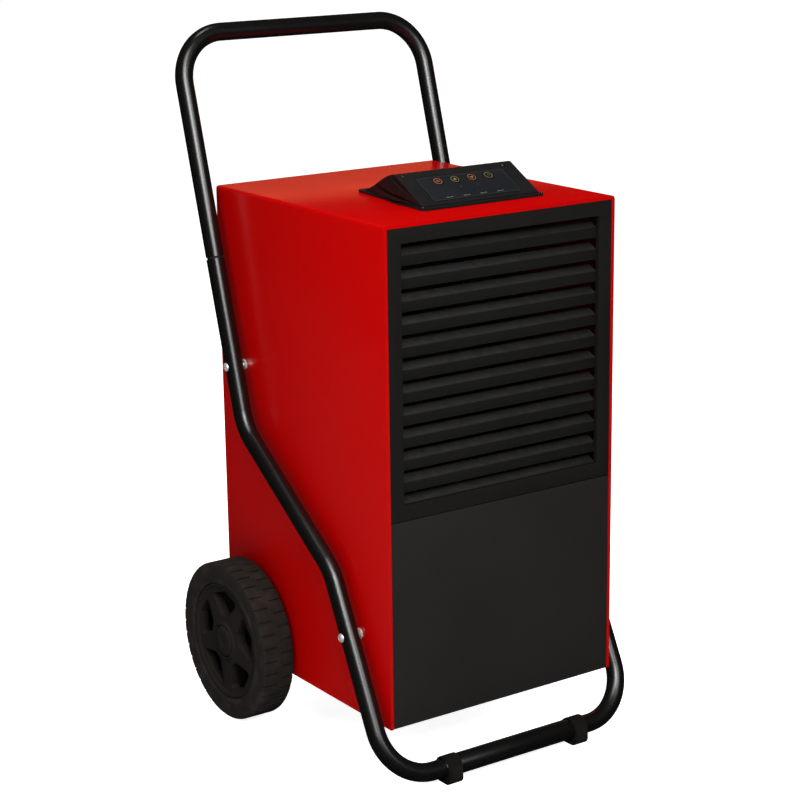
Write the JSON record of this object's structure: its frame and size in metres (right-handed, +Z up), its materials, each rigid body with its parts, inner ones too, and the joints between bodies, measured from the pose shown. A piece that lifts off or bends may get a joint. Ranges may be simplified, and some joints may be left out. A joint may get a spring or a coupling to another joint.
{
  "type": "dehumidifier",
  "caption": "Red and black refrigerant dehumidifier: louvred sheet-metal cabinet with a sloped control housing on top, carried on a bent tube cart with two wheels and a push handle.",
  "frame": {"origin": "on the floor, under the middle of the bounding box (20.5 mm behind the middle of the cabinet)", "axes": "+X to the right of a person who faces the louvred front, +Y towards the back, +Z up"},
  "size_m": [0.4782, 0.5269, 0.9703],
  "materials": {
    "red_paint": "semi-gloss powder coat",
    "black_paint": "satin powder coat",
    "tube_paint": "gloss black paint",
    "galvanised": "galvanised sheet",
    "bright_steel": "bright zinc plate",
    "black_plastic": "moulded black",
    "button_film": "smooth dark key caps",
    "overlay_film": "dark printed film",
    "circuit_board": "green laminate",
    "rubber": "matt black",
    "tyre": "matt black with grooved tread",
    "aluminium": "plain fin stock",
    "copper": null,
    "tank_plastic": "translucent grey moulding",
    "filter_net": "fine woven net",
    "white_plastic": "foamed white moulding"
  },
  "bodies": {
    "chassis": {"axle": "bright_steel", "base_pan": "galvanised", "cabinet_cover": "red_paint", "capillary_tube": "copper", "compressor": "black_paint", "compressor_mount": "rubber", "condenser_fins": "aluminium", "condenser_tube": "copper", "control_board": "circuit_board", "control_housing": "black_plastic", "control_overlay": "overlay_film", "cord_rest": "black_plastic", "cross_tube": "tube_paint", "discharge_pipe": "copper", "divider_shelf": "galvanised", "drain_hose": "rubber", "drip_tray": "galvanised", "evaporator_fins": "aluminium", "evaporator_tube": "copper", "fan_motor": "galvanised", "fan_shroud": "black_plastic", "foot_left": "rubber", "foot_right": "rubber", "frame_bolt_lower_left": "bright_steel", "frame_bolt_lower_right": "bright_steel", "frame_bolt_upper_left": "bright_steel", "frame_bolt_upper_right": "bright_steel", "frame_spacer_lower_left": "bright_steel", "frame_spacer_lower_right": "bright_steel", "frame_spacer_upper_left": "bright_steel", "frame_spacer_upper_right": "bright_steel", "handle_tube": "tube_paint", "louvre_panel": "black_paint", "lower_front_panel": "black_paint", "panel_screw_1": "bright_steel", "panel_screw_2": "bright_steel", "panel_screw_3": "bright_steel", "panel_screw_4": "bright_steel", "power_cord": "rubber", "power_plug": "rubber", "rear_panel": "black_paint", "side_tube_left": "tube_paint", "side_tube_right": "tube_paint", "suction_pipe": "copper", "tank_shelf": "galvanised"},
    "wheel_left": {"wheel_left": "black_plastic", "tyre_left": "tyre", "wheel_cap_left": "black_plastic"},
    "wheel_right": {"wheel_right": "black_plastic", "tyre_right": "tyre", "wheel_cap_right": "black_plastic"},
    "fan": {"fan_wheel": "black_plastic"},
    "tank": {"water_tank": "tank_plastic"},
    "float": {"tank_float": "white_plastic"},
    "filter": {"filter_cassette": "black_plastic", "filter_mesh": "filter_net"},
    "button_power": {"button_power": "button_film"},
    "button_humidity": {"button_humidity": "button_film"},
    "button_fan_speed": {"button_fan_speed": "button_film"},
    "button_timer": {"button_timer": "button_film"}
  },
  "joints": [
    {"name": "wheel_left_spin", "type": "hinge", "parent": "chassis", "child": "wheel_left", "pos_m": [-0.2135, 0.1201, 0.114], "axis": [1, 0, 0], "continuous": true},
    {"name": "wheel_right_spin", "type": "hinge", "parent": "chassis", "child": "wheel_right", "pos_m": [0.2135, 0.1201, 0.114], "axis": [1, 0, 0], "continuous": true},
    {"name": "fan_spin", "type": "hinge", "parent": "chassis", "child": "fan", "pos_m": [0, -0.0525, 0.562], "axis": [0, -1, 0], "continuous": true},
    {"name": "tank_slide", "type": "slide", "parent": "chassis", "child": "tank", "axis": [0, 1, 0], "range_m": [0, 0.19]},
    {"name": "float_swing", "type": "hinge", "parent": "tank", "child": "float", "pos_m": [0, 0.0035, 0.304], "axis": [1, 0, 0], "range_deg": [0, 25]},
    {"name": "filter_pull", "type": "slide", "parent": "chassis", "child": "filter", "axis": [0, 1, 0], "range_m": [0, 0.06]},
    {"name": "button_power_press", "type": "slide", "parent": "chassis", "child": "button_power", "axis": [0, 0.4814, -0.8765], "range_m": [0, 0.001]},
    {"name": "button_humidity_press", "type": "slide", "parent": "chassis", "child": "button_humidity", "axis": [0, 0.4814, -0.8765], "range_m": [0, 0.001]},
    {"name": "button_fan_speed_press", "type": "slide", "parent": "chassis", "child": "button_fan_speed", "axis": [0, 0.4814, -0.8765], "range_m": [0, 0.001]},
    {"name": "button_timer_press", "type": "slide", "parent": "chassis", "child": "button_timer", "axis": [0, 0.4814, -0.8765], "range_m": [0, 0.001]}
  ]
}
